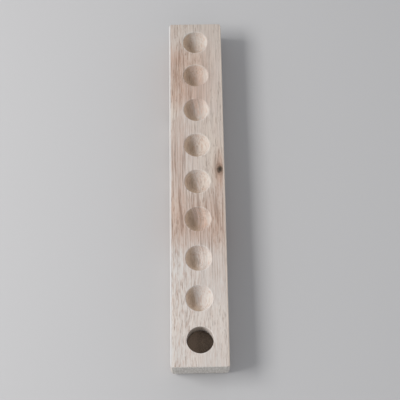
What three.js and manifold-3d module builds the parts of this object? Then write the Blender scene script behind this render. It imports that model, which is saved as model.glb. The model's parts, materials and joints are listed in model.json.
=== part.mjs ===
// Egg holder tray: a long limed-wood block of two boards, laid face to face on locating dowels.
// The upper board has a row of shallow egg cups and, at the front end, one sharp-edged round well,
// which goes through it and has a dark disc for a floor. The lower board stands on felt feet.
// Units are millimetres. +Z is up, +Y runs along the row towards the far end, and the well is at -Y.
// The origin is at the middle of the footprint, on the surface that the tray stands on.
import * as THREE from 'three';
import { mergeVertices } from 'three/addons/utils/BufferGeometryUtils.js';
import Module from 'manifold-3d';

const wasm = await Module();
wasm.setup();

// Driving dimensions
const LENGTH = 470;
const WIDTH = 70;
const HEIGHT = 36;
const UPPER_THICKNESS = 19;
const TOUCH_GAP = 0.3;

const CUP_COUNT = 8;
const CUP_RIM_DIAMETER = 34;
const CUP_DEPTH = 12;
const PITCH = 51;
const FIRST_CUP_FROM_END = 29;

const WELL_DIAMETER = 32;
const DISC_THICKNESS = 1.2;
const DISC_SIDE_GAP = 0.4;

const FOOT_DIAMETER = 14;
const FOOT_THICKNESS = 1.5;
const FOOT_INSET = 14;

const DOWEL_DIAMETER = 8;
const DOWEL_REACH_UP = 10;
const DOWEL_REACH_DOWN = 8;
const DOWEL_CHAMFER = 0.8;
const DOWEL_WEBS = [0, 2, 5, 7];

const TOP_EDGE_ROUND = 1.6;
const BOTTOM_SIDE_ROUND = 7;
const BOTTOM_END_ROUND = 2;
const FRONT_CORNER = 2;
const FAR_CORNER = 1.5;

// Levels and places that follow from them
const UPPER_BOTTOM = HEIGHT - UPPER_THICKNESS;
const LOWER_TOP = UPPER_BOTTOM - TOUCH_GAP;
const LOWER_BOTTOM = FOOT_THICKNESS + TOUCH_GAP;
const FIRST_CUP_Y = LENGTH / 2 - FIRST_CUP_FROM_END;
const WELL_Y = FIRST_CUP_Y - CUP_COUNT * PITCH;

const LIMED_WOOD = { color: 0xcbc1b9, roughness: 0.8, metalness: 0 };
const DARK_FELT = { color: 0x453a30, roughness: 0.95, metalness: 0 };
const DOWEL_BEECH = { color: 0xb98d5f, roughness: 0.7, metalness: 0 };
const GREY_FELT = { color: 0x3a3836, roughness: 0.95, metalness: 0 };

const block = new THREE.Group();

function toSolid(geometry) {
  const bare = geometry.index ? geometry.toNonIndexed() : geometry.clone();
  bare.deleteAttribute('normal');
  bare.deleteAttribute('uv');
  const merged = mergeVertices(bare, 1e-4);
  const vertProperties = new Float32Array(merged.attributes.position.array);
  const triVerts = new Uint32Array(merged.index.array);
  return new wasm.Manifold(new wasm.Mesh({ numProp: 3, vertProperties, triVerts }));
}

function toGeometry(solid) {
  const mesh = solid.getMesh();
  const geometry = new THREE.BufferGeometry();
  geometry.setAttribute('position', new THREE.BufferAttribute(mesh.vertProperties, 3));
  geometry.setIndex(new THREE.BufferAttribute(mesh.triVerts, 1));
  geometry.computeVertexNormals();
  return geometry;
}

function addPiece(name, geometry, finish) {
  const mesh = new THREE.Mesh(geometry, new THREE.MeshStandardMaterial(finish));
  mesh.name = name;
  block.add(mesh);
  return mesh;
}

// The footprint of both boards: a long rectangle with slightly rounded corners.
function footprint() {
  const x = WIDTH / 2;
  const y = LENGTH / 2;
  const outline = new THREE.Shape();
  outline.moveTo(-x + FRONT_CORNER, -y);
  outline.lineTo(x - FRONT_CORNER, -y);
  outline.absarc(x - FRONT_CORNER, -y + FRONT_CORNER, FRONT_CORNER, -Math.PI / 2, 0);
  outline.lineTo(x, y - FAR_CORNER);
  outline.absarc(x - FAR_CORNER, y - FAR_CORNER, FAR_CORNER, 0, Math.PI / 2);
  outline.lineTo(-x + FAR_CORNER, y);
  outline.absarc(-x + FAR_CORNER, y - FAR_CORNER, FAR_CORNER, Math.PI / 2, Math.PI);
  outline.lineTo(-x, -y + FRONT_CORNER);
  outline.absarc(-x + FRONT_CORNER, -y + FRONT_CORNER, FRONT_CORNER, Math.PI, 1.5 * Math.PI);
  return outline;
}

// The upright outline of a board that is span wide, with round corners at the top or at the bottom.
function upright(span, bottom, top, topRound, bottomRound) {
  const x = span / 2;
  const outline = new THREE.Shape();
  outline.moveTo(-x + bottomRound, bottom);
  outline.lineTo(x - bottomRound, bottom);
  if (bottomRound > 0) {
    outline.absarc(x - bottomRound, bottom + bottomRound, bottomRound, -Math.PI / 2, 0);
  }
  outline.lineTo(x, top - topRound);
  if (topRound > 0) {
    outline.absarc(x - topRound, top - topRound, topRound, 0, Math.PI / 2);
  }
  outline.lineTo(-x + topRound, top);
  if (topRound > 0) {
    outline.absarc(-x + topRound, top - topRound, topRound, Math.PI / 2, Math.PI);
  }
  outline.lineTo(-x, bottom + bottomRound);
  if (bottomRound > 0) {
    outline.absarc(-x + bottomRound, bottom + bottomRound, bottomRound, Math.PI, 1.5 * Math.PI);
  }
  return outline;
}

// A board between two levels: its footprint, its cross-section and its side outline, all kept at once.
// Its long bottom edges are rounded by sideRound and the bottom edges of its ends by endRound.
function board(bottom, top, topRound, sideRound, endRound) {
  const extrusion = (outline, depth) => {
    return new THREE.ExtrudeGeometry(outline, { depth, bevelEnabled: false, curveSegments: 5 });
  };
  const plan = extrusion(footprint(), top - bottom);
  plan.translate(0, 0, bottom);

  const across = extrusion(upright(WIDTH, bottom, top, topRound, sideRound), LENGTH + 2);
  across.rotateX(Math.PI / 2);
  across.translate(0, LENGTH / 2 + 1, 0);

  const along = extrusion(upright(LENGTH, bottom, top, topRound, endRound), WIDTH + 2);
  along.rotateX(Math.PI / 2);
  along.rotateZ(Math.PI / 2);
  along.translate(-WIDTH / 2 - 1, 0, 0);

  return toSolid(plan).intersect(toSolid(across)).intersect(toSolid(along));
}

// An upright round solid between two levels.
function round(radius, bottom, top, x, y, segments) {
  const geometry = new THREE.CylinderGeometry(radius, radius, top - bottom, segments);
  geometry.rotateX(Math.PI / 2);
  geometry.translate(x, y, (top + bottom) / 2);
  return geometry;
}

// The cutter of one egg cup: the lower part of a ball, carried straight up past the top face.
function cupCutter(y) {
  const rim = CUP_RIM_DIAMETER / 2;
  const ball = (rim * rim + CUP_DEPTH * CUP_DEPTH) / (2 * CUP_DEPTH);
  const centre = HEIGHT - CUP_DEPTH + ball;
  const sweep = Math.asin(rim / ball);
  const rings = 8;
  const profile = [];
  for (let i = 0; i <= rings; i += 1) {
    const angle = (sweep * i) / rings;
    profile.push(new THREE.Vector2(i === 0 ? 0 : ball * Math.sin(angle), centre - ball * Math.cos(angle)));
  }
  profile.push(new THREE.Vector2(rim, HEIGHT + 2));
  profile.push(new THREE.Vector2(0, HEIGHT + 2));
  const geometry = new THREE.LatheGeometry(profile, 36);
  geometry.rotateX(Math.PI / 2);
  geometry.translate(0, y, 0);
  return geometry;
}

function dowelPlaces() {
  return DOWEL_WEBS.map((web) => FIRST_CUP_Y - (web + 0.5) * PITCH);
}

function upperBoard() {
  let solid = board(UPPER_BOTTOM, HEIGHT, TOP_EDGE_ROUND, 0, 0);
  for (let i = 0; i < CUP_COUNT; i += 1) {
    solid = solid.subtract(toSolid(cupCutter(FIRST_CUP_Y - i * PITCH)));
  }
  solid = solid.subtract(toSolid(round(WELL_DIAMETER / 2, UPPER_BOTTOM - 1, HEIGHT + 1, 0, WELL_Y, 48)));
  const bore = DOWEL_DIAMETER / 2 + TOUCH_GAP;
  for (const y of dowelPlaces()) {
    const roof = UPPER_BOTTOM + DOWEL_REACH_UP + TOUCH_GAP;
    solid = solid.subtract(toSolid(round(bore, UPPER_BOTTOM - 1, roof, 0, y, 24)));
  }
  return toGeometry(solid);
}

function lowerBoard() {
  let solid = board(LOWER_BOTTOM, LOWER_TOP, 0, BOTTOM_SIDE_ROUND, BOTTOM_END_ROUND);
  const bore = DOWEL_DIAMETER / 2 + TOUCH_GAP;
  for (const y of dowelPlaces()) {
    const floor = LOWER_TOP - DOWEL_REACH_DOWN - TOUCH_GAP;
    solid = solid.subtract(toSolid(round(bore, floor, LOWER_TOP + 1, 0, y, 24)));
  }
  return toGeometry(solid);
}

function wellDisc() {
  const radius = WELL_DIAMETER / 2 - DISC_SIDE_GAP;
  return round(radius, UPPER_BOTTOM, UPPER_BOTTOM + DISC_THICKNESS, 0, WELL_Y, 48);
}

// A dowel with chamfered ends, half in each board.
function dowel(y) {
  const r = DOWEL_DIAMETER / 2;
  const c = DOWEL_CHAMFER;
  const bottom = LOWER_TOP - DOWEL_REACH_DOWN;
  const top = UPPER_BOTTOM + DOWEL_REACH_UP;
  const profile = [
    new THREE.Vector2(0, bottom),
    new THREE.Vector2(r - c, bottom),
    new THREE.Vector2(r, bottom + c),
    new THREE.Vector2(r, top - c),
    new THREE.Vector2(r - c, top),
    new THREE.Vector2(0, top),
  ];
  const geometry = new THREE.LatheGeometry(profile, 20);
  geometry.rotateX(Math.PI / 2);
  geometry.translate(0, y, 0);
  return geometry;
}

function foot(x, y) {
  return round(FOOT_DIAMETER / 2, 0, FOOT_THICKNESS, x, y, 32);
}

addPiece('upper_board', upperBoard(), LIMED_WOOD);
addPiece('lower_board', lowerBoard(), LIMED_WOOD);
addPiece('well_disc', wellDisc(), DARK_FELT);

dowelPlaces().forEach((y, i) => addPiece(`dowel_pin_${i + 1}`, dowel(y), DOWEL_BEECH));

const footX = WIDTH / 2 - FOOT_INSET;
const footY = LENGTH / 2 - FOOT_INSET;
for (const [end, y] of [['front', -footY], ['rear', footY]]) {
  for (const [side, x] of [['left', -footX], ['right', footX]]) {
    addPiece(`foot_pad_${end}_${side}`, foot(x, y), GREY_FELT);
  }
}

export default block;
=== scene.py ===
import json
import math

import bmesh
import bpy
import numpy as np
from mathutils import Matrix, Vector, noise


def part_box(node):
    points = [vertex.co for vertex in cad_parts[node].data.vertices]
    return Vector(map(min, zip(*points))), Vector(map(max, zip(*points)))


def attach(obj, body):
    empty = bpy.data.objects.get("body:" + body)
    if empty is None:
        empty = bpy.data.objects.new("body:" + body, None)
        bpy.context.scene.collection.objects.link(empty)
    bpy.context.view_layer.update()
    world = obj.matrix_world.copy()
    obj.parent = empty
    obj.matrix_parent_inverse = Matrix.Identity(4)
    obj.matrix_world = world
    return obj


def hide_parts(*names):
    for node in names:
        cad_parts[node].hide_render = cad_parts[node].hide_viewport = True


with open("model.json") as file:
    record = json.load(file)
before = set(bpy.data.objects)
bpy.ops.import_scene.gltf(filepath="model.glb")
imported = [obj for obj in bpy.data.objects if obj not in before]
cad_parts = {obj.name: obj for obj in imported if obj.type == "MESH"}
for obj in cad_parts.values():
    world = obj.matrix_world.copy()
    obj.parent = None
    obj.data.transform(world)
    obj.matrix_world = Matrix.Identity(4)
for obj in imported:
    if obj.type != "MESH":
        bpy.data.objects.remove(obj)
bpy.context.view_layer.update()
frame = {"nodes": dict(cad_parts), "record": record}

# Egg holder tray: a long limed-wood block made of two boards, with a row of egg cups and one round
# well. The CAD's boards, disc and feet are replaced by finer meshes in the same places, and its
# dowels stay. +X is to the right and +Y away from the front end, where the well is. Lengths are in
# metres, and in millimetres inside the materials.

MM = 0.001

# Recesses: the ball of a cup would meet the top face at the rim radius, and the eased rim is a
# little wider. Depths and outlines differ by small shares of their size, as when cut by hand, and
# the well's outline bulges towards the right.
CUP_RIM_RADIUS = 16.5 * MM
CUP_DEPTH = 12.0 * MM
CUP_RIM_EASE = 0.6 * MM
CUP_DEPTH_SPREAD = 0.04
WELL_RADIUS = 16.2 * MM
WELL_RIM_EASE = 0.4 * MM
HAND_WOBBLE = 0.02
WELL_BULGE = 0.04
WELL_BULGE_ANGLE = math.radians(-25)

# Edges of the boards, the glue lines between the pieces, and the room round the dowels
UPPER_TOP_ROUND = 1.6 * MM
INNER_ROUND = 0.35 * MM
LOWER_SIDE_ROUND = 7.0 * MM
LOWER_END_ROUND = 2.0 * MM
FRONT_CORNER = 3.5 * MM
FAR_CORNER = 4.0 * MM
GLUE_LINE = 0.05 * MM
BORE_CLEARANCE = 0.3 * MM

# Wear: how far the long top edges are worn in, over what width, and the lengths of its slow and
# quick changes; then how uneven the top face is, how deep that reaches, and its wave lengths
EDGE_WEAR = 0.5 * MM
EDGE_REACH = 4.0 * MM
EDGE_SLOW = 40 * MM
EDGE_QUICK = 9 * MM
TOP_UNEVENNESS = 0.16 * MM
TOP_REACH = 15.0 * MM
SWELL_ACROSS = 24 * MM
SWELL_ALONG = 60 * MM

# Felt disc and feet
DISC_EASE = 0.35 * MM
FOOT_EASE = 0.45 * MM
FELT_UNEVENNESS = 0.12 * MM
FELT_LUMP = 3 * MM

# Places in the wood, in millimetres from the middle of the footprint: the knot in the top face, a
# patch of fresh lime, and the tree's heart, which is far out on the left and below the block
KNOT_X = 28.6
KNOT_Y = 18.3
FRESH_X = 8.0
FRESH_Y = -98.0
HEART_LEFT = 150.0
HEART_BELOW = 20.0

# Mesh density; then how the rings of a flat cell crowd towards its recess, the last ring of a plain
# cell, the depth at which a cup's "hollow" weight is full, and how near points have to be to merge
SIDE_STEPS = 24
BORDER_RINGS = 8
EASE_RINGS = 4
BOWL_RINGS = 12
WALL_LOOPS = 9
ROUND_LOOPS = 5
BORE_SIDES = 32
PAD_RINGS = (0.12, 0.3, 0.5, 0.7, 0.85)
RING_CROWDING = 1.35
PLAIN_CENTRE = 4 * MM
HOLLOW_FADE = 2.5 * MM
MERGE_DISTANCE = 0.002 * MM

# Colours of the lime: over the length, in cool and fresh patches, and on the edges, with painted light
# on the right edge; and painted warm bounce light for the cups
LIME_FAR = (0.635, 0.592, 0.540)
LIME_NEAR = (0.65, 0.60, 0.56)
LIME_COOL = (0.61, 0.59, 0.57)
LIME_GREY = (0.555, 0.545, 0.515)
LIME_WHITE = (0.70, 0.695, 0.675)
LIME_THICK = (0.545, 0.543, 0.540)
# Painted light: a lighter, warmer lime line on the right top edge, which faces away from the lamp
EDGE_PAINTED_LIGHT = (0.72, 0.63, 0.55)
# Painted warm bounce light, for the shaded left sides of the cups
WARM_BOUNCE_LIGHT = (0.705, 0.540, 0.400)

# Colours of the wood: end grain, whose lime colour also gives the painted shade on the cups' steep
# right walls, bare wood, painted shade in the cups and on the well's far wall, pores and the knot
END_LIME_AND_CUP_SHADE = (0.56, 0.535, 0.505)
END_BARE = (0.42, 0.395, 0.365)
TAN = (0.465, 0.285, 0.205)
BROWN = (0.235, 0.14, 0.095)
# Painted shade in the cups
CUP_PAINTED_SHADE = (0.27, 0.20, 0.145)
# Painted shade on the well's far wall
WELL_PAINTED_SHADE = (0.22, 0.185, 0.14)
PORE_DARK = (0.21, 0.16, 0.13)
KNOT_DARK = (0.040, 0.028, 0.019)
KNOT_HALO = (0.17, 0.11, 0.075)

# Colours of the felts, the dowels, the floor and the light
DISC_DARK = (0.042, 0.031, 0.024)
DISC_LIGHT = (0.35, 0.275, 0.215)
FOOT_DARK = (0.045, 0.043, 0.040)
FOOT_LIGHT = (0.13, 0.125, 0.12)
BEECH_DARK = (0.46, 0.29, 0.16)
BEECH_LIGHT = (0.64, 0.45, 0.28)
BEECH_FLECK = (0.33, 0.19, 0.10)
FLOOR_GREY = (0.50, 0.50, 0.51)
SKY_COLOUR = (0.97, 0.98, 1.0)
SOFTBOX_COLOUR = (1.0, 0.985, 0.96)

# Camera, floor and light
CAMERA_PLACE = (-4.3 * MM, -483.2 * MM, 1138.1 * MM)
CAMERA_TILT = math.radians(22.64)
CAMERA_TURN = math.radians(-0.915)
CAMERA_LENS = 85.9
CAMERA_SENSOR = 36
FLOOR_HALF_SIZE = 4.0
SOFTBOX_ELEVATION = math.radians(39.5)
SOFTBOX_AZIMUTH = math.radians(3)
SOFTBOX_DISTANCE = 2.2
SOFTBOX_WIDTH = 1.4
SOFTBOX_HEIGHT = 0.7
SOFTBOX_POWER = 40.5
HORIZON_LIGHT = 1.15
ZENITH_LIGHT = 0.12
HORIZON_BAND = 0.2

# From the frame: the middles of the recesses, from the far end, and the pieces that repeat
openings = frame["record"]["physics"]["openings"]
MIDDLES = [Vector([(a + b) / 2 for a, b in zip(*opening["box_m"])]) for opening in openings]
dowel_names = sorted(name for name in frame["nodes"] if name.startswith("dowel_pin"))
foot_names = sorted(name for name in frame["nodes"] if name.startswith("foot_pad"))
dowel_boxes = [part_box(name) for name in dowel_names]


# ---------------------------------------------------------------- mesh building

class Skin:
    """Vertices, faces and two painted weights of a mesh that is built ring by ring."""

    def __init__(self):
        self.points = []
        self.rim = []
        self.hollow = []
        self.faces = []

    def ring(self, points, rim=0.0, hollow=0.0):
        """Adds points with their two weights, and gives back their numbers."""
        start = len(self.points)
        self.points.extend(points)
        self.rim.extend([rim] * len(points))
        self.hollow.extend([hollow] * len(points))
        return list(range(start, start + len(points)))

    def bridge(self, rings):
        """Faces from each ring to the next."""
        for outer, inner in zip(rings, rings[1:]):
            for i in range(len(outer)):
                j = (i + 1) % len(outer)
                self.faces.append((outer[i], outer[j], inner[j], inner[i]))

    def fan(self, ring, centre):
        """Triangles from a ring to one point."""
        for i in range(len(ring)):
            self.faces.append((ring[i], ring[(i + 1) % len(ring)], centre))

    def build(self, name):
        """Makes the mesh and its object, with all normals outwards."""
        mesh = bpy.data.meshes.new(name)
        mesh.from_pydata([tuple(p) for p in self.points], [], self.faces)
        for label, values in (("rim", self.rim), ("hollow", self.hollow)):
            layer = mesh.attributes.new(label, "FLOAT", "POINT")
            layer.data.foreach_set("value", values)
        work = bmesh.new()
        work.from_mesh(mesh)
        bmesh.ops.remove_doubles(work, verts=work.verts, dist=MERGE_DISTANCE)
        bmesh.ops.recalc_face_normals(work, faces=work.faces)
        work.to_mesh(mesh)
        work.free()
        mesh.polygons.foreach_set("use_smooth", [True] * len(mesh.polygons))
        piece = bpy.data.objects.new(name, mesh)
        bpy.context.scene.collection.objects.link(piece)
        return piece


def cell_spans(half_length):
    """(low, high) of the cell round each recess, in shares of the half length, from the far end."""
    webs = [(a.y + b.y) / 2 for a, b in zip(MIDDLES, MIDDLES[1:])]
    limits = [half_length] + webs + [-half_length]
    return [(low / half_length, high / half_length) for high, low in zip(limits, limits[1:])]


def cell_border(v_low, v_high):
    """The border of one cell of a face, in shares of the face's half sizes, anticlockwise."""
    steps = [i / SIDE_STEPS for i in range(SIDE_STEPS)]
    right = [(1.0, v_low + (v_high - v_low) * s) for s in steps]
    top = [(1.0 - 2.0 * s, v_high) for s in steps]
    left = [(-1.0, v_high + (v_low - v_high) * s) for s in steps]
    bottom = [(-1.0 + 2.0 * s, v_low) for s in steps]
    return right + top + left + bottom


# The angle at which each border point's ray leaves the middle: corners on the diagonals.
RAYS = [-math.pi / 4 + 2 * math.pi * i / (4 * SIDE_STEPS) for i in range(4 * SIDE_STEPS)]


class Outline:
    """A round outline cut by hand: a circle with a smooth error, which may bulge to one side."""

    def __init__(self, middle, seed, bulge=0.0):
        self.middle = middle
        self.seed = seed
        self.bulge = bulge

    def error(self, angle):
        """The share by which the radius is wrong in one direction."""
        spot = Vector((math.cos(angle) * 0.9, math.sin(angle) * 0.9, self.seed * 3.7))
        return HAND_WOBBLE * noise.noise(spot) + self.bulge * math.cos(angle - WELL_BULGE_ANGLE)

    def points(self, radius, level, roughness=1.0):
        """Points at a radius; a roughness of 0 leaves the error out."""
        made = []
        for angle in RAYS:
            reach = radius * (1 + self.error(angle) * roughness)
            x = self.middle[0] + reach * math.cos(angle)
            y = self.middle[1] + reach * math.sin(angle)
            made.append((x, y, level))
        return made


def add_face(skin, border, outline, radius, level):
    """Rings across a flat cell, from its border in to a round outline; gives back the last ring."""
    goal = outline.points(radius, level)
    rings = [skin.ring(border)]
    for i in range(1, BORDER_RINGS + 1):
        share = 1 - (1 - i / BORDER_RINGS) ** RING_CROWDING
        points = []
        for start, end in zip(border, goal):
            x = start[0] + (end[0] - start[0]) * share
            y = start[1] + (end[1] - start[1]) * share
            points.append((x, y, level))
        rings.append(skin.ring(points, 1.0 if i == BORDER_RINGS else 0.0))
    skin.bridge(rings)
    return rings[-1]


def cup_profile(depth):
    """(radius, drop, rim weight) from the flat face over the eased rim to just off the bottom."""
    ball = (CUP_RIM_RADIUS ** 2 + depth ** 2) / (2 * depth)
    rise = ball - depth
    ease_centre = math.sqrt((ball + CUP_RIM_EASE) ** 2 - (rise + CUP_RIM_EASE) ** 2)
    meeting = math.acos((rise + CUP_RIM_EASE) / (ball + CUP_RIM_EASE))
    steps = []
    for i in range(EASE_RINGS + 1):
        turn = meeting * i / EASE_RINGS
        radius = ease_centre - CUP_RIM_EASE * math.sin(turn)
        steps.append((radius, CUP_RIM_EASE * (1 - math.cos(turn)), 1.0))
    for i in range(1, BOWL_RINGS):
        turn = meeting * (1 - i / BOWL_RINGS)
        steps.append((ball * math.sin(turn), ball * math.cos(turn) - rise, 0.0))
    return steps


def add_cup(skin, border, middle, top, seed):
    depth = CUP_DEPTH * (1 + CUP_DEPTH_SPREAD * noise.noise(Vector((seed, 0.3, 1.7))))
    profile = cup_profile(depth)
    outline = Outline(middle, seed)
    rings = [add_face(skin, border, outline, profile[0][0], top)]
    for radius, drop, rim in profile[1:]:
        points = outline.points(radius, top - drop, min(1.0, radius / CUP_RIM_RADIUS))
        rings.append(skin.ring(points, rim, min(1.0, drop / HOLLOW_FADE)))
    skin.bridge(rings)
    bottom = skin.ring([(middle[0], middle[1], top - depth)], 0.0, 1.0)[0]
    skin.fan(rings[-1], bottom)


def add_well(skin, top_border, bottom_border, middle, bottom, top, seed):
    """A round hole right through the board, with an eased rim at the top."""
    outline = Outline(middle, seed, WELL_BULGE)
    rings = [add_face(skin, top_border, outline, WELL_RADIUS + WELL_RIM_EASE, top)]
    for i in range(1, EASE_RINGS + 1):
        turn = math.pi / 2 * i / EASE_RINGS
        radius = WELL_RADIUS + WELL_RIM_EASE * (1 - math.sin(turn))
        level = top - WELL_RIM_EASE * (1 - math.cos(turn))
        rings.append(skin.ring(outline.points(radius, level), 1.0))
    start = top - WELL_RIM_EASE
    for i in range(1, WALL_LOOPS):
        level = start + (bottom - start) * i / WALL_LOOPS
        rings.append(skin.ring(outline.points(WELL_RADIUS, level)))
    rings.append(add_face(skin, bottom_border, outline, WELL_RADIUS, bottom))
    skin.bridge(rings)


def add_plain(skin, border, middle, level):
    """A flat cell: rings that shrink to a small circle and close on a point."""
    last = add_face(skin, border, Outline(middle, 0), PLAIN_CENTRE, level)
    centre = skin.ring([(middle[0], middle[1], level)])[0]
    skin.fan(last, centre)


def outer_shares(cells):
    """Once round the board's outside, through the border points of every cell."""
    steps = [i / SIDE_STEPS for i in range(SIDE_STEPS)]
    shares = [(1.0 - 2.0 * s, 1.0) for s in steps]
    for v_low, v_high in cells:
        shares += [(-1.0, v_high + (v_low - v_high) * s) for s in steps]
    shares += [(-1.0 + 2.0 * s, -1.0) for s in steps]
    for v_low, v_high in reversed(cells):
        shares += [(1.0, v_low + (v_high - v_low) * s) for s in steps]
    return shares


def inset(radius, height):
    """How far a round edge stands back, at a height measured from its flat face."""
    if height >= radius:
        return 0.0
    return radius - math.sqrt(max(radius ** 2 - (radius - height) ** 2, 0.0))


def wall_loops(bottom, top, top_round, side_round, end_round):
    """(inset across, inset along, level) down the outside, round at the top and at the bottom."""
    loops = []
    for i in range(ROUND_LOOPS + 1):
        drop = top_round * (1 - math.cos(math.pi / 2 * i / ROUND_LOOPS))
        loops.append((inset(top_round, drop), inset(top_round, drop), top - drop))
    high, low = top - top_round, bottom + side_round
    loops += [(0.0, 0.0, high + (low - high) * i / WALL_LOOPS) for i in range(1, WALL_LOOPS)]
    steps = ROUND_LOOPS * 2
    for i in range(steps + 1):
        rise = side_round * (1 - math.sin(math.pi / 2 * i / steps))
        loops.append((inset(side_round, rise), inset(end_round, rise), bottom + rise))
    return loops


def add_walls(skin, half, cells, loops):
    """The board's outside, ring by ring from the top to the bottom."""
    shares = outer_shares(cells)
    rings = []
    for inset_x, inset_y, level in loops:
        points = [(u * (half.x - inset_x), v * (half.y - inset_y), level) for u, v in shares]
        rings.append(skin.ring(points))
    skin.bridge(rings)


def round_corners(points, half):
    """Bends the block's square plan corners into quarter circles."""
    for end, radius in ((-1, FRONT_CORNER), (1, FAR_CORNER)):
        for side in (-1, 1):
            a = side * points[:, 0] - (half.x - radius)
            b = end * points[:, 1] - (half.y - radius)
            near = (a > 0) & (b > 0)
            a_new = a * np.sqrt(np.clip(1 - b ** 2 / (2 * radius ** 2), 0, 1))
            b_new = b * np.sqrt(np.clip(1 - a ** 2 / (2 * radius ** 2), 0, 1))
            points[near, 0] = side * (half.x - radius + a_new[near])
            points[near, 1] = end * (half.y - radius + b_new[near])


def wear(points, half, top):
    """Makes the top face slightly uneven and wears the long top edges, always inwards."""
    for point in points:
        x, y, z = point
        side = math.copysign(1.0, x)
        from_top = max(0.0, top - z)
        near_side = max(0.0, 1 - (half.x - abs(x)) / EDGE_REACH)
        near_top = max(0.0, 1 - from_top / EDGE_REACH)
        slow = noise.noise(Vector((y / EDGE_SLOW, side * 3.3, 0.5)))
        quick = noise.noise(Vector((y / EDGE_QUICK, side * 3.3, 7.5)))
        worn = max(0.0, 0.3 + 0.5 * slow + 1.2 * max(0.0, quick - 0.2))
        bite = EDGE_WEAR * near_side * near_top * worn
        swell = 0.5 + 0.5 * noise.noise(Vector((x / SWELL_ACROSS, y / SWELL_ALONG, 4.1)))
        point[0] = x - side * bite
        point[2] = z - bite - TOP_UNEVENNESS * swell * max(0.0, 1 - from_top / TOP_REACH)


def board(name, lo, hi, rounds, recesses=()):
    """A board with the given box; rounds are its top, bottom side and bottom end roundings, and
    recesses says for each cell, from the far end, whether it has a "cup" or the "well"."""
    top_round, side_round, end_round = rounds
    half = Vector(((hi.x - lo.x) / 2, (hi.y - lo.y) / 2))
    cells = cell_spans(half.y)
    skin = Skin()
    for number, ((v_low, v_high), middle) in enumerate(zip(cells, MIDDLES)):
        border = cell_border(v_low, v_high)
        top = [(u * (half.x - top_round), v * (half.y - top_round), hi.z) for u, v in border]
        bottom = [(u * (half.x - side_round), v * (half.y - end_round), lo.z) for u, v in border]
        kind = recesses[number] if recesses else "plain"
        if kind == "well":
            add_well(skin, top, bottom, middle, lo.z, hi.z, number + 1)
            continue
        if kind == "cup":
            add_cup(skin, top, middle, hi.z, number + 1)
        else:
            add_plain(skin, top, middle, hi.z)
        add_plain(skin, bottom, middle, lo.z)
    add_walls(skin, half, cells, wall_loops(lo.z, hi.z, top_round, side_round, end_round))
    skin.points = np.array(skin.points, float)
    round_corners(skin.points, half)
    if recesses:
        wear(skin.points, half, hi.z)
    return skin.build(name)


def bore(piece, dowels):
    """Cuts a clearance hole for every dowel into a board."""
    work = bmesh.new()
    for lo, hi in dowels:
        radius = (hi.x - lo.x) / 2 + BORE_CLEARANCE
        bmesh.ops.create_cone(
            work, cap_ends=True, segments=BORE_SIDES, radius1=radius, radius2=radius,
            depth=hi.z - lo.z + 2 * BORE_CLEARANCE, matrix=Matrix.Translation((lo + hi) / 2),
        )
    mesh = bpy.data.meshes.new("bores")
    work.to_mesh(mesh)
    work.free()
    cutter = bpy.data.objects.new("bores", mesh)
    bpy.context.scene.collection.objects.link(cutter)
    cut = piece.modifiers.new("bores", "BOOLEAN")
    cut.object = cutter
    cut.operation = "DIFFERENCE"
    cut.solver = "EXACT"
    with_bores = piece.evaluated_get(bpy.context.evaluated_depsgraph_get())
    mesh_with_bores = bpy.data.meshes.new_from_object(with_bores)
    piece.modifiers.clear()
    piece.data = mesh_with_bores
    bpy.data.objects.remove(cutter)


def pad_levels(radius, bottom, top, ease):
    """(radius, level, way in) from the middle of a pad's top, over its eased edge, to its bottom."""
    profile = [(radius * share, 0.0) for share in PAD_RINGS]
    for i in range(EASE_RINGS + 1):
        turn = math.pi / 2 * i / EASE_RINGS
        profile.append((radius - ease * (1 - math.sin(turn)), ease * (1 - math.cos(turn))))
    down = [(r, top - drop, -1) for r, drop in profile]
    back = [(r, bottom + drop, 1) for r, drop in reversed(profile)]
    return down + back


def pad(name, lo, hi, ease, outline):
    """A round felt pad in the given box, with eased edges and a slightly uneven top and bottom."""
    skin = Skin()
    rings = []
    for radius, level, way_in in pad_levels((hi.x - lo.x) / 2, lo.z, hi.z, ease):
        points = []
        for x, y, z in outline.points(radius, level):
            swell = 0.5 + 0.5 * noise.noise(Vector((x / FELT_LUMP, y / FELT_LUMP, level / MM)))
            points.append((x, y, z + way_in * FELT_UNEVENNESS * swell))
        rings.append(skin.ring(points))
    skin.bridge(rings)
    top = skin.ring([(*outline.middle[:2], hi.z - FELT_UNEVENNESS / 2)])[0]
    bottom = skin.ring([(*outline.middle[:2], lo.z + FELT_UNEVENNESS / 2)])[0]
    skin.fan(rings[0], top)
    skin.fan(rings[-1], bottom)
    return skin.build(name)


# ---------------------------------------------------------------- materials

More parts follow.
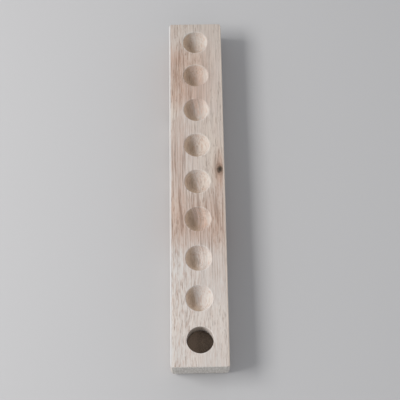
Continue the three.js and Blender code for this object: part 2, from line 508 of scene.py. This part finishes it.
class Graph:
    """A material's nodes, built from short calls; any input may be a number, a tuple or a socket."""

    def __init__(self, name):
        self.material = bpy.data.materials.new(name)
        self.material.use_nodes = True
        self.nodes = self.material.node_tree.nodes
        self.links = self.material.node_tree.links
        self.shader = self.nodes["Principled BSDF"]

    def feed(self, socket, value):
        if isinstance(value, bpy.types.NodeSocket):
            self.links.new(value, socket)
        elif socket.type == "RGBA":
            socket.default_value = (*value, 1.0)
        else:
            socket.default_value = value

    def node(self, kind, **inputs):
        made = self.nodes.new("ShaderNode" + kind)
        for name, value in inputs.items():
            self.feed(made.inputs[name.replace("_", " ")], value)
        return made

    def math(self, operation, *values):
        made = self.nodes.new("ShaderNodeMath")
        made.operation = operation
        for socket, value in zip(made.inputs, values):
            self.feed(socket, value)
        return made.outputs[0]

    def add(self, *values):
        total = values[0]
        for value in values[1:]:
            total = self.math("ADD", total, value)
        return total

    def times(self, *values):
        product = values[0]
        for value in values[1:]:
            product = self.math("MULTIPLY", product, value)
        return product

    def fade(self, value, start, end, low=0.0, high=1.0):
        """low where value is start, high where it is end, and a smooth change between."""
        made = self.node("MapRange", Value=value, From_Min=start, From_Max=end, To_Min=low, To_Max=high)
        made.interpolation_type = "SMOOTHSTEP"
        return made.outputs["Result"]

    def oval(self, across, along, width, length):
        """1 at the middle of an oval and 0 well outside it."""
        square = self.add(
            self.math("POWER", self.times(across, 1 / width), 2.0),
            self.math("POWER", self.times(along, 1 / length), 2.0),
        )
        return self.math("EXPONENT", self.times(square, -1.0))

    def vector(self, x, y, z):
        return self.node("CombineXYZ", X=x, Y=y, Z=z).outputs[0]

    def split(self, vector):
        made = self.node("SeparateXYZ", Vector=vector)
        return [made.outputs[i] for i in range(3)]

    def noise(self, vector, detail=2.0, roughness=0.5):
        made = self.node("TexNoise", Vector=vector, Scale=1.0, Detail=detail, Roughness=roughness)
        return made.outputs[0]

    def centred(self, value, gain):
        """A noise value, from -gain/2 to gain/2."""
        return self.times(self.math("SUBTRACT", value, 0.5), gain)

    def colour(self, share, low, high):
        made = self.nodes.new("ShaderNodeMix")
        made.data_type = "RGBA"
        self.feed(made.inputs["Factor"], share)
        self.feed(made.inputs[6], low)
        self.feed(made.inputs[7], high)
        return made.outputs[2]

    def attribute(self, name):
        made = self.nodes.new("ShaderNodeAttribute")
        made.attribute_name = name
        return made.outputs["Fac"]

    def place(self):
        """The point's own x, y and z, in millimetres."""
        metres = self.split(self.node("TexCoord").outputs["Object"])
        return [self.times(part, 1 / MM) for part in metres]

    def normal(self):
        return self.split(self.node("NewGeometry").outputs["Normal"])

    def bump(self, height, strength, distance):
        made = self.node("Bump", Strength=strength, Distance=distance, Height=height)
        self.feed(self.shader.inputs["Normal"], made.outputs["Normal"])


class Grain:
    """The pattern of one board's wood, as values that its colour, lime and relief all use."""

    def __init__(self, g, seed, knot):
        self.x, self.y, self.z = g.place()
        offset = seed * 37.0
        wander_place = g.vector(g.times(self.x, 0.01), g.times(self.y, 0.006), offset)
        wander = g.noise(wander_place, detail=1.0)
        bent = g.add(self.x, g.centred(wander, 9.0))
        if knot:
            self.across = g.math("SUBTRACT", self.x, KNOT_X)
            self.along = g.math("SUBTRACT", self.y, KNOT_Y)
            push = g.oval(self.across, self.along, 11.0, 24.0)
            bent = g.math("SUBTRACT", bent, g.times(self.across, push, 0.8))

        # The heart is so far out that the rings stand nearly upright.
        side = g.add(bent, HEART_LEFT)
        depth = g.add(self.z, HEART_BELOW)
        radius = g.math("SQRT", g.add(g.math("POWER", side, 2.0), g.math("POWER", depth, 2.0)))
        self.broad = g.noise(g.vector(g.times(radius, 0.13), g.times(self.y, 0.004), offset))
        ring_place = g.vector(g.times(radius, 0.62), g.times(self.y, 0.014), offset + 5.0)
        self.rings = g.noise(ring_place, roughness=0.6)
        fibre_place = g.vector(g.times(bent, 1.15), g.times(self.y, 0.08), g.times(self.z, 1.15))
        self.fibre = g.noise(fibre_place, detail=3.0, roughness=0.7)
        self.zones = g.noise(g.vector(g.times(self.x, 0.03), g.times(self.y, 0.013), offset + 9.0))

        # Open pores are short dark dashes, found in some zones only.
        dash_depth = g.add(g.times(self.z, 0.85), offset)
        dashes = g.noise(g.vector(g.times(bent, 0.95), g.times(self.y, 0.10), dash_depth))
        self.pore = g.times(g.fade(dashes, 0.55, 0.68), g.fade(self.zones, 0.36, 0.56))


def lime_regions(g, x, y):
    """Regions along the block, each about 1 at its heart and 0 outside: the white front end, the
    bare patches on the left and in the middle, the darker left edge, and the even right side."""
    later_on_right = g.fade(x, -22.0, -4.0, 0.0, 42.0)
    near_end = g.fade(g.add(y, later_on_right), -60.0, -115.0)
    bare_left = g.times(g.fade(x, 34.0, -6.0), g.fade(y, 95.0, 125.0), g.fade(y, 214.0, 178.0))
    more_on_right = g.fade(x, -25.0, 0.0, 0.9, 1.3)
    bare_middle = g.times(g.fade(y, 15.0, -55.0), g.fade(y, -101.0, -62.0), more_on_right)
    less_far_away = g.fade(y, 110.0, 40.0, 0.4, 1.0)
    left_band = g.times(g.fade(x, -8.0, -24.0), g.fade(y, -90.0, -30.0), less_far_away)
    from_bare_middle = g.math("ABSOLUTE", g.add(y, 60.0))
    calm_right = g.times(g.fade(x, -14.0, 2.0), g.fade(from_bare_middle, 30.0, 90.0))
    return near_end, bare_left, bare_middle, left_band, calm_right


def lime_cover(g, grain, normal):
    """How much of the wood the rubbed-in lime hides: 0 is bare wood and 1 is solid lime."""
    near_end, bare_left, bare_middle, left_band, calm_right = lime_regions(g, grain.x, grain.y)
    inside = g.attribute("hollow")
    rim = g.times(g.attribute("rim"), g.fade(grain.zones, 0.35, 0.62))
    underside = g.fade(normal[2], -0.5, -0.9)
    pattern = g.add(
        g.centred(grain.broad, 0.18),
        g.centred(grain.rings, 0.80),
        g.times(g.centred(grain.fibre, 1.0), g.add(0.74, g.times(near_end, 1.8))),
        g.times(grain.pore, -0.16),
    )
    weaker = g.times(g.fade(inside, 0.0, 1.0, 1.0, 0.55), g.fade(calm_right, 0.0, 1.0, 1.0, 0.5))
    return g.add(
        0.62,
        g.times(near_end, 0.16),
        g.times(bare_left, -0.25),
        g.times(bare_middle, -0.20),
        g.times(left_band, -0.13),
        g.times(pattern, weaker),
        g.centred(grain.zones, 0.26),
        g.times(inside, 0.06),
        g.times(rim, 0.22),
        g.times(underside, -0.3),
    )


def add_knot(g, grain, colour):
    """A dark ragged knot with brown arcs round it."""
    ragged = g.noise(g.vector(g.times(grain.x, 0.35), g.times(grain.y, 0.22), 3.0))
    along = g.times(grain.along, 0.70)
    square = g.add(g.math("POWER", grain.across, 2.0), g.math("POWER", along, 2.0))
    distance = g.add(g.math("SQRT", square), g.centred(ragged, 3.4))
    arcs = g.math("SINE", g.times(distance, 2.6))
    halo = g.times(g.fade(distance, 8.5, 2.2, 0.0, 0.84), g.fade(arcs, -1.0, 1.0, 0.7, 1.0))
    colour = g.colour(halo, colour, KNOT_HALO)
    return g.colour(g.fade(distance, 4.3, 1.2, 0.0, 0.95), colour, KNOT_DARK)


def cup_painted_light_and_grain(g, grain, normal, colour):
    """Painted light and shade in the cups, with their grain: the steep right walls, which face the
    lamp, are painted darker; the shaded left sides are painted lighter and warmer, as warm bounce
    light; brown grain streaks run inside; and patchy brown painted shade lies on the left sides next to
    the bottom."""
    inside = g.attribute("hollow")
    # Painted shade: the steep right walls of the cups, which face the lamp, are made darker with the
    # end grain's colour
    steep_right = g.times(inside, g.fade(normal[0], -0.45, -0.85))
    colour = g.colour(g.times(steep_right, 0.6), colour, END_LIME_AND_CUP_SHADE)

    # How much the surface faces right, as the left sides do, with ragged and patchy borders
    patchy = g.noise(g.vector(g.times(grain.x, 0.12), g.times(grain.y, 0.05), 11.0))
    ragged = g.add(g.centred(grain.fibre, 0.3), g.centred(patchy, 0.3))
    towards = g.add(normal[0], g.times(normal[1], 0.35), ragged)
    # Painted light: the shaded left sides of the cups are made lighter and warmer, standing in for warm
    # light bounced from the lit right walls
    painted_bounce_light = g.times(inside, g.fade(towards, -0.1, 0.5))
    colour = g.colour(g.times(painted_bounce_light, 0.85), colour, WARM_BOUNCE_LIGHT)

    streak_place = g.vector(g.times(grain.x, 0.60), g.times(grain.y, 0.10), g.times(grain.z, 0.60))
    streaks = g.fade(g.noise(streak_place), 0.46, 0.70, 0.0, 0.45)
    colour = g.colour(g.times(inside, streaks), colour, TAN)

    # Painted shade: patchy brown darkening on the shaded left sides of the cups, next to the bottom
    painted_shade_spot = g.times(inside, g.fade(towards, -0.06, 0.30), g.fade(towards, 0.95, 0.35))
    patches = g.fade(patchy, 0.35, 0.62, 0.25, 0.62)
    strength = g.times(painted_shade_spot, patches, g.fade(grain.fibre, 0.3, 0.7, 1.0, 0.5))
    return g.colour(strength, colour, CUP_PAINTED_SHADE)


def shade_well_wall(g, grain, normal, colour):
    """Painted shade: the far wall of the well is made darker on its left, following the grain."""
    along = g.add(grain.y, -MIDDLES[-1].y / MM)
    upright = g.fade(normal[2], 0.6, 0.2)
    near_well = g.times(g.fade(g.math("ABSOLUTE", grain.x), 20.0, 18.0), g.fade(along, 22.0, 19.0))
    far_left = g.times(g.fade(along, 2.0, 12.0), g.fade(grain.x, 9.0, -1.0))
    streaks = g.fade(grain.fibre, 0.3, 0.7, 0.75, 0.45)
    return g.colour(g.times(upright, near_well, far_left, streaks), colour, WELL_PAINTED_SHADE)


def lime_ends_and_edges(g, grain, normal, corner, colour):
    """End grain takes the lime badly, and the long top edges hold a thick line of it; on the right
    edge, which faces away from the lamp, this line is also painted lighter and warmer as painted light.
    """
    half_x, half_y, top = (part / MM for part in corner)
    streak_place = g.vector(g.times(grain.x, 0.55), g.times(grain.z, 0.09), 2.0)
    streaks = g.noise(streak_place, detail=3.0, roughness=0.6)
    end_colour = g.colour(g.fade(streaks, 0.36, 0.64), END_BARE, END_LIME_AND_CUP_SHADE)
    at_end = g.fade(g.math("ABSOLUTE", grain.y), half_y - 1.6, half_y - 0.5)
    facing_end = g.fade(g.math("ABSOLUTE", normal[1]), 0.35, 0.75)
    colour = g.colour(g.times(at_end, facing_end), colour, end_colour)

    from_side = g.math("SUBTRACT", half_x, g.math("ABSOLUTE", grain.x))
    edge_line = g.times(g.fade(from_side, 2.7, 1.5), g.fade(grain.z, top - 3.0, top - 1.8))
    # Thick lime on both edges; on the right edge, away from the lamp, it is also painted light
    edge_lime_and_light = g.colour(g.fade(grain.x, -10.0, 10.0), LIME_THICK, EDGE_PAINTED_LIGHT)
    thickness = g.fade(grain.fibre, 0.25, 0.6, 0.55, 0.95)
    return g.colour(g.times(edge_line, thickness), colour, edge_lime_and_light)


def lime_colour(g, grain):
    """The lime's own colour: duller at the far end, cool in places, and fresh in one patch."""
    lime = g.colour(g.fade(grain.y, 20.0, -120.0), LIME_FAR, LIME_NEAR)
    lime = g.colour(g.fade(grain.zones, 0.35, 0.65, 0.8, 0.0), lime, LIME_COOL)
    lime = g.colour(g.fade(grain.y, 170.0, 215.0, 0.0, 0.7), lime, LIME_GREY)
    fresh_patch = g.oval(g.add(grain.x, -FRESH_X), g.add(grain.y, -FRESH_Y), 12.0, 22.0)
    return g.colour(g.times(fresh_patch, 0.9), lime, LIME_WHITE)


def limed_wood(name, seed, corner, knot=False):
    """Pale wood with lime rubbed into it, thickest on the edges, with painted light and shade in the
    cups, on the well's wall and on the right edge; corner is the block's top corner.
    """
    g = Graph(name)
    grain = Grain(g, seed, knot)
    normal = g.normal()
    cover = lime_cover(g, grain, normal)
    if knot:
        bare_round_knot = g.oval(grain.across, grain.along, 7.0, 25.0)
        cover = g.math("SUBTRACT", cover, g.times(bare_round_knot, 0.40))
    wood = g.colour(g.fade(grain.rings, 0.30, 0.60), BROWN, TAN)
    colour = g.colour(g.fade(cover, -0.05, 1.05), wood, lime_colour(g, grain))
    colour = g.colour(g.times(grain.pore, 0.38), colour, PORE_DARK)

    colour = cup_painted_light_and_grain(g, grain, normal, colour)
    colour = shade_well_wall(g, grain, normal, colour)
    if knot:
        colour = add_knot(g, grain, colour)
    colour = lime_ends_and_edges(g, grain, normal, corner, colour)

    g.feed(g.shader.inputs["Base Color"], colour)
    g.feed(g.shader.inputs["Roughness"], g.fade(cover, 0.0, 1.0, 0.62, 0.86))
    g.shader.inputs["Specular IOR Level"].default_value = 0.3
    relief = g.add(g.times(grain.rings, 0.5), g.times(grain.fibre, 0.35), g.times(grain.pore, -0.6))
    g.bump(relief, 0.55, 0.35 * MM)
    return g.material


def felt(name, dark, light, shade_reach=0.0):
    """Pressed felt of matted fibres; with a reach it darkens towards +X over that distance, as painted
    shade that leaves it lighter on the left.
    """
    g = Graph(name)
    x, y, z = g.place()
    mat_place = g.vector(g.times(x, 0.9), g.times(y, 0.9), g.times(z, 0.9))
    mat = g.noise(mat_place, detail=4.0, roughness=0.7)
    hair_place = g.vector(g.times(x, 3.0), g.times(y, 0.7), g.times(z, 3.0))
    hairs = g.noise(hair_place, roughness=0.6)
    share = g.add(0.5, g.centred(mat, 0.9), g.centred(hairs, 0.5))
    # Painted shade: darker towards +X, so the felt is lighter on its left
    if shade_reach:
        share = g.add(share, g.fade(x, -shade_reach, shade_reach, 0.36, -0.36))
    g.feed(g.shader.inputs["Base Color"], g.colour(g.fade(share, 0.0, 1.0), dark, light))
    g.feed(g.shader.inputs["Roughness"], g.fade(mat, 0.0, 1.0, 0.88, 1.0))
    g.shader.inputs["Specular IOR Level"].default_value = 0.2
    g.bump(g.add(mat, g.times(hairs, 0.5)), 0.7, 0.3 * MM)
    return g.material


def beech(name):
    """Bare turned beech with fine flecks, for the dowels."""
    g = Graph(name)
    x, y, z = g.place()
    line_place = g.vector(g.times(x, 1.2), g.times(y, 1.2), g.times(z, 0.08))
    lines = g.noise(line_place, detail=3.0, roughness=0.6)
    flecks = g.noise(g.vector(g.times(x, 2.0), g.times(y, 2.0), g.times(z, 0.5)))
    colour = g.colour(g.fade(lines, 0.3, 0.7), BEECH_DARK, BEECH_LIGHT)
    colour = g.colour(g.fade(flecks, 0.6, 0.72, 0.0, 0.6), colour, BEECH_FLECK)
    g.feed(g.shader.inputs["Base Color"], colour)
    g.feed(g.shader.inputs["Roughness"], g.fade(lines, 0.0, 1.0, 0.55, 0.75))
    g.bump(g.add(lines, flecks), 0.4, 0.1 * MM)
    return g.material


# ---------------------------------------------------------------- the pieces

def stand_for(piece, node, material):
    """Gives a piece its material and puts it in the place of a CAD node."""
    piece.data.materials.clear()
    piece.data.materials.append(material)
    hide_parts(node)
    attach(piece, "root")


upper_lo, upper_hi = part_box("upper_board")
recesses = ["cup"] * (len(MIDDLES) - 1) + ["well"]
upper_rounds = (UPPER_TOP_ROUND, INNER_ROUND, INNER_ROUND)
upper = board("upper_board_limed", upper_lo, upper_hi, upper_rounds, recesses)
bore(upper, dowel_boxes)
upper_wood = limed_wood("limed_wood_upper", 1, upper_hi, knot=True)
stand_for(upper, "upper_board", upper_wood)

lower_lo, lower_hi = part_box("lower_board")
lower_hi.z = upper_lo.z - GLUE_LINE
lower_rounds = (INNER_ROUND, LOWER_SIDE_ROUND, LOWER_END_ROUND)
lower = board("lower_board_limed", lower_lo, lower_hi, lower_rounds)
bore(lower, dowel_boxes)
lower_wood = limed_wood("limed_wood_lower", 2, upper_hi)
stand_for(lower, "lower_board", lower_wood)

disc_lo, disc_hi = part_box("well_disc")
disc_outline = Outline(MIDDLES[-1], len(MIDDLES), WELL_BULGE)
disc = pad("well_disc_felt", disc_lo, disc_hi, DISC_EASE, disc_outline)
# The reach of the painted shade on the well's felt disc
disc_shade_reach = (disc_hi.x - disc_lo.x) / 2 / MM
brown_felt = felt("brown_felt", DISC_DARK, DISC_LIGHT, disc_shade_reach)
stand_for(disc, "well_disc", brown_felt)

grey_felt = felt("grey_felt", FOOT_DARK, FOOT_LIGHT)
for number, name in enumerate(foot_names):
    foot_lo, foot_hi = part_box(name)
    foot_hi.z = lower_lo.z - GLUE_LINE
    foot_outline = Outline((foot_lo + foot_hi) / 2, number)
    foot = pad(name.replace("pad", "felt"), foot_lo, foot_hi, FOOT_EASE, foot_outline)
    stand_for(foot, name, grey_felt)

beech_wood = beech("beech")
for name in dowel_names:
    frame["nodes"][name].data.materials.clear()
    frame["nodes"][name].data.materials.append(beech_wood)


# ---------------------------------------------------------------- stage, light and camera

def add_floor():
    size = FLOOR_HALF_SIZE
    corners = [(-size, -size, 0), (size, -size, 0), (size, size, 0), (-size, size, 0)]
    mesh = bpy.data.meshes.new("floor")
    mesh.from_pydata(corners, [], [(0, 1, 2, 3)])
    g = Graph("floor_grey")
    g.feed(g.shader.inputs["Base Color"], FLOOR_GREY)
    g.feed(g.shader.inputs["Roughness"], 0.9)
    mesh.materials.append(g.material)
    floor = bpy.data.objects.new("floor", mesh)
    bpy.context.scene.collection.objects.link(floor)


def add_sky():
    """Soft light from all round, strongest near the horizon."""
    world = bpy.data.worlds.new("studio")
    world.use_nodes = True
    nodes, links = world.node_tree.nodes, world.node_tree.links
    split = nodes.new("ShaderNodeSeparateXYZ")
    fade = nodes.new("ShaderNodeMapRange")
    fade.inputs["From Min"].default_value = HORIZON_BAND
    fade.inputs["From Max"].default_value = 1.0
    fade.inputs["To Min"].default_value = HORIZON_LIGHT
    fade.inputs["To Max"].default_value = ZENITH_LIGHT
    background = nodes["Background"]
    background.inputs["Color"].default_value = (*SKY_COLOUR, 1)
    links.new(nodes.new("ShaderNodeTexCoord").outputs["Generated"], split.inputs[0])
    links.new(split.outputs["Z"], fade.inputs["Value"])
    links.new(fade.outputs["Result"], background.inputs["Strength"])
    bpy.context.scene.world = world


def add_softbox():
    """The main light, from the left; its way is the direction in which it shines."""
    light = bpy.data.lights.new("softbox", "AREA")
    light.shape = "RECTANGLE"
    light.size = SOFTBOX_WIDTH
    light.size_y = SOFTBOX_HEIGHT
    light.energy = SOFTBOX_POWER
    light.color = SOFTBOX_COLOUR
    flat = math.cos(SOFTBOX_ELEVATION)
    way_x = flat * math.cos(SOFTBOX_AZIMUTH)
    way_y = flat * math.sin(SOFTBOX_AZIMUTH)
    way = Vector((way_x, way_y, -math.sin(SOFTBOX_ELEVATION)))
    piece = bpy.data.objects.new("softbox", light)
    aim = way.to_track_quat("-Z", "Y").to_matrix().to_4x4()
    piece.matrix_world = Matrix.Translation(-way * SOFTBOX_DISTANCE) @ aim
    bpy.context.scene.collection.objects.link(piece)


def add_camera():
    """The photograph's view: from above and in front, turned a little."""
    lens = bpy.data.cameras.new("camera")
    lens.sensor_width = CAMERA_SENSOR
    lens.lens = CAMERA_LENS
    piece = bpy.data.objects.new("camera", lens)
    turn = Matrix.Rotation(CAMERA_TURN, 4, "Z") @ Matrix.Rotation(CAMERA_TILT, 4, "X")
    piece.matrix_world = Matrix.Translation(CAMERA_PLACE) @ turn
    bpy.context.scene.collection.objects.link(piece)
    bpy.context.scene.camera = piece


add_floor()
add_sky()
add_softbox()
add_camera()
bpy.context.scene.view_settings.view_transform = "Standard"
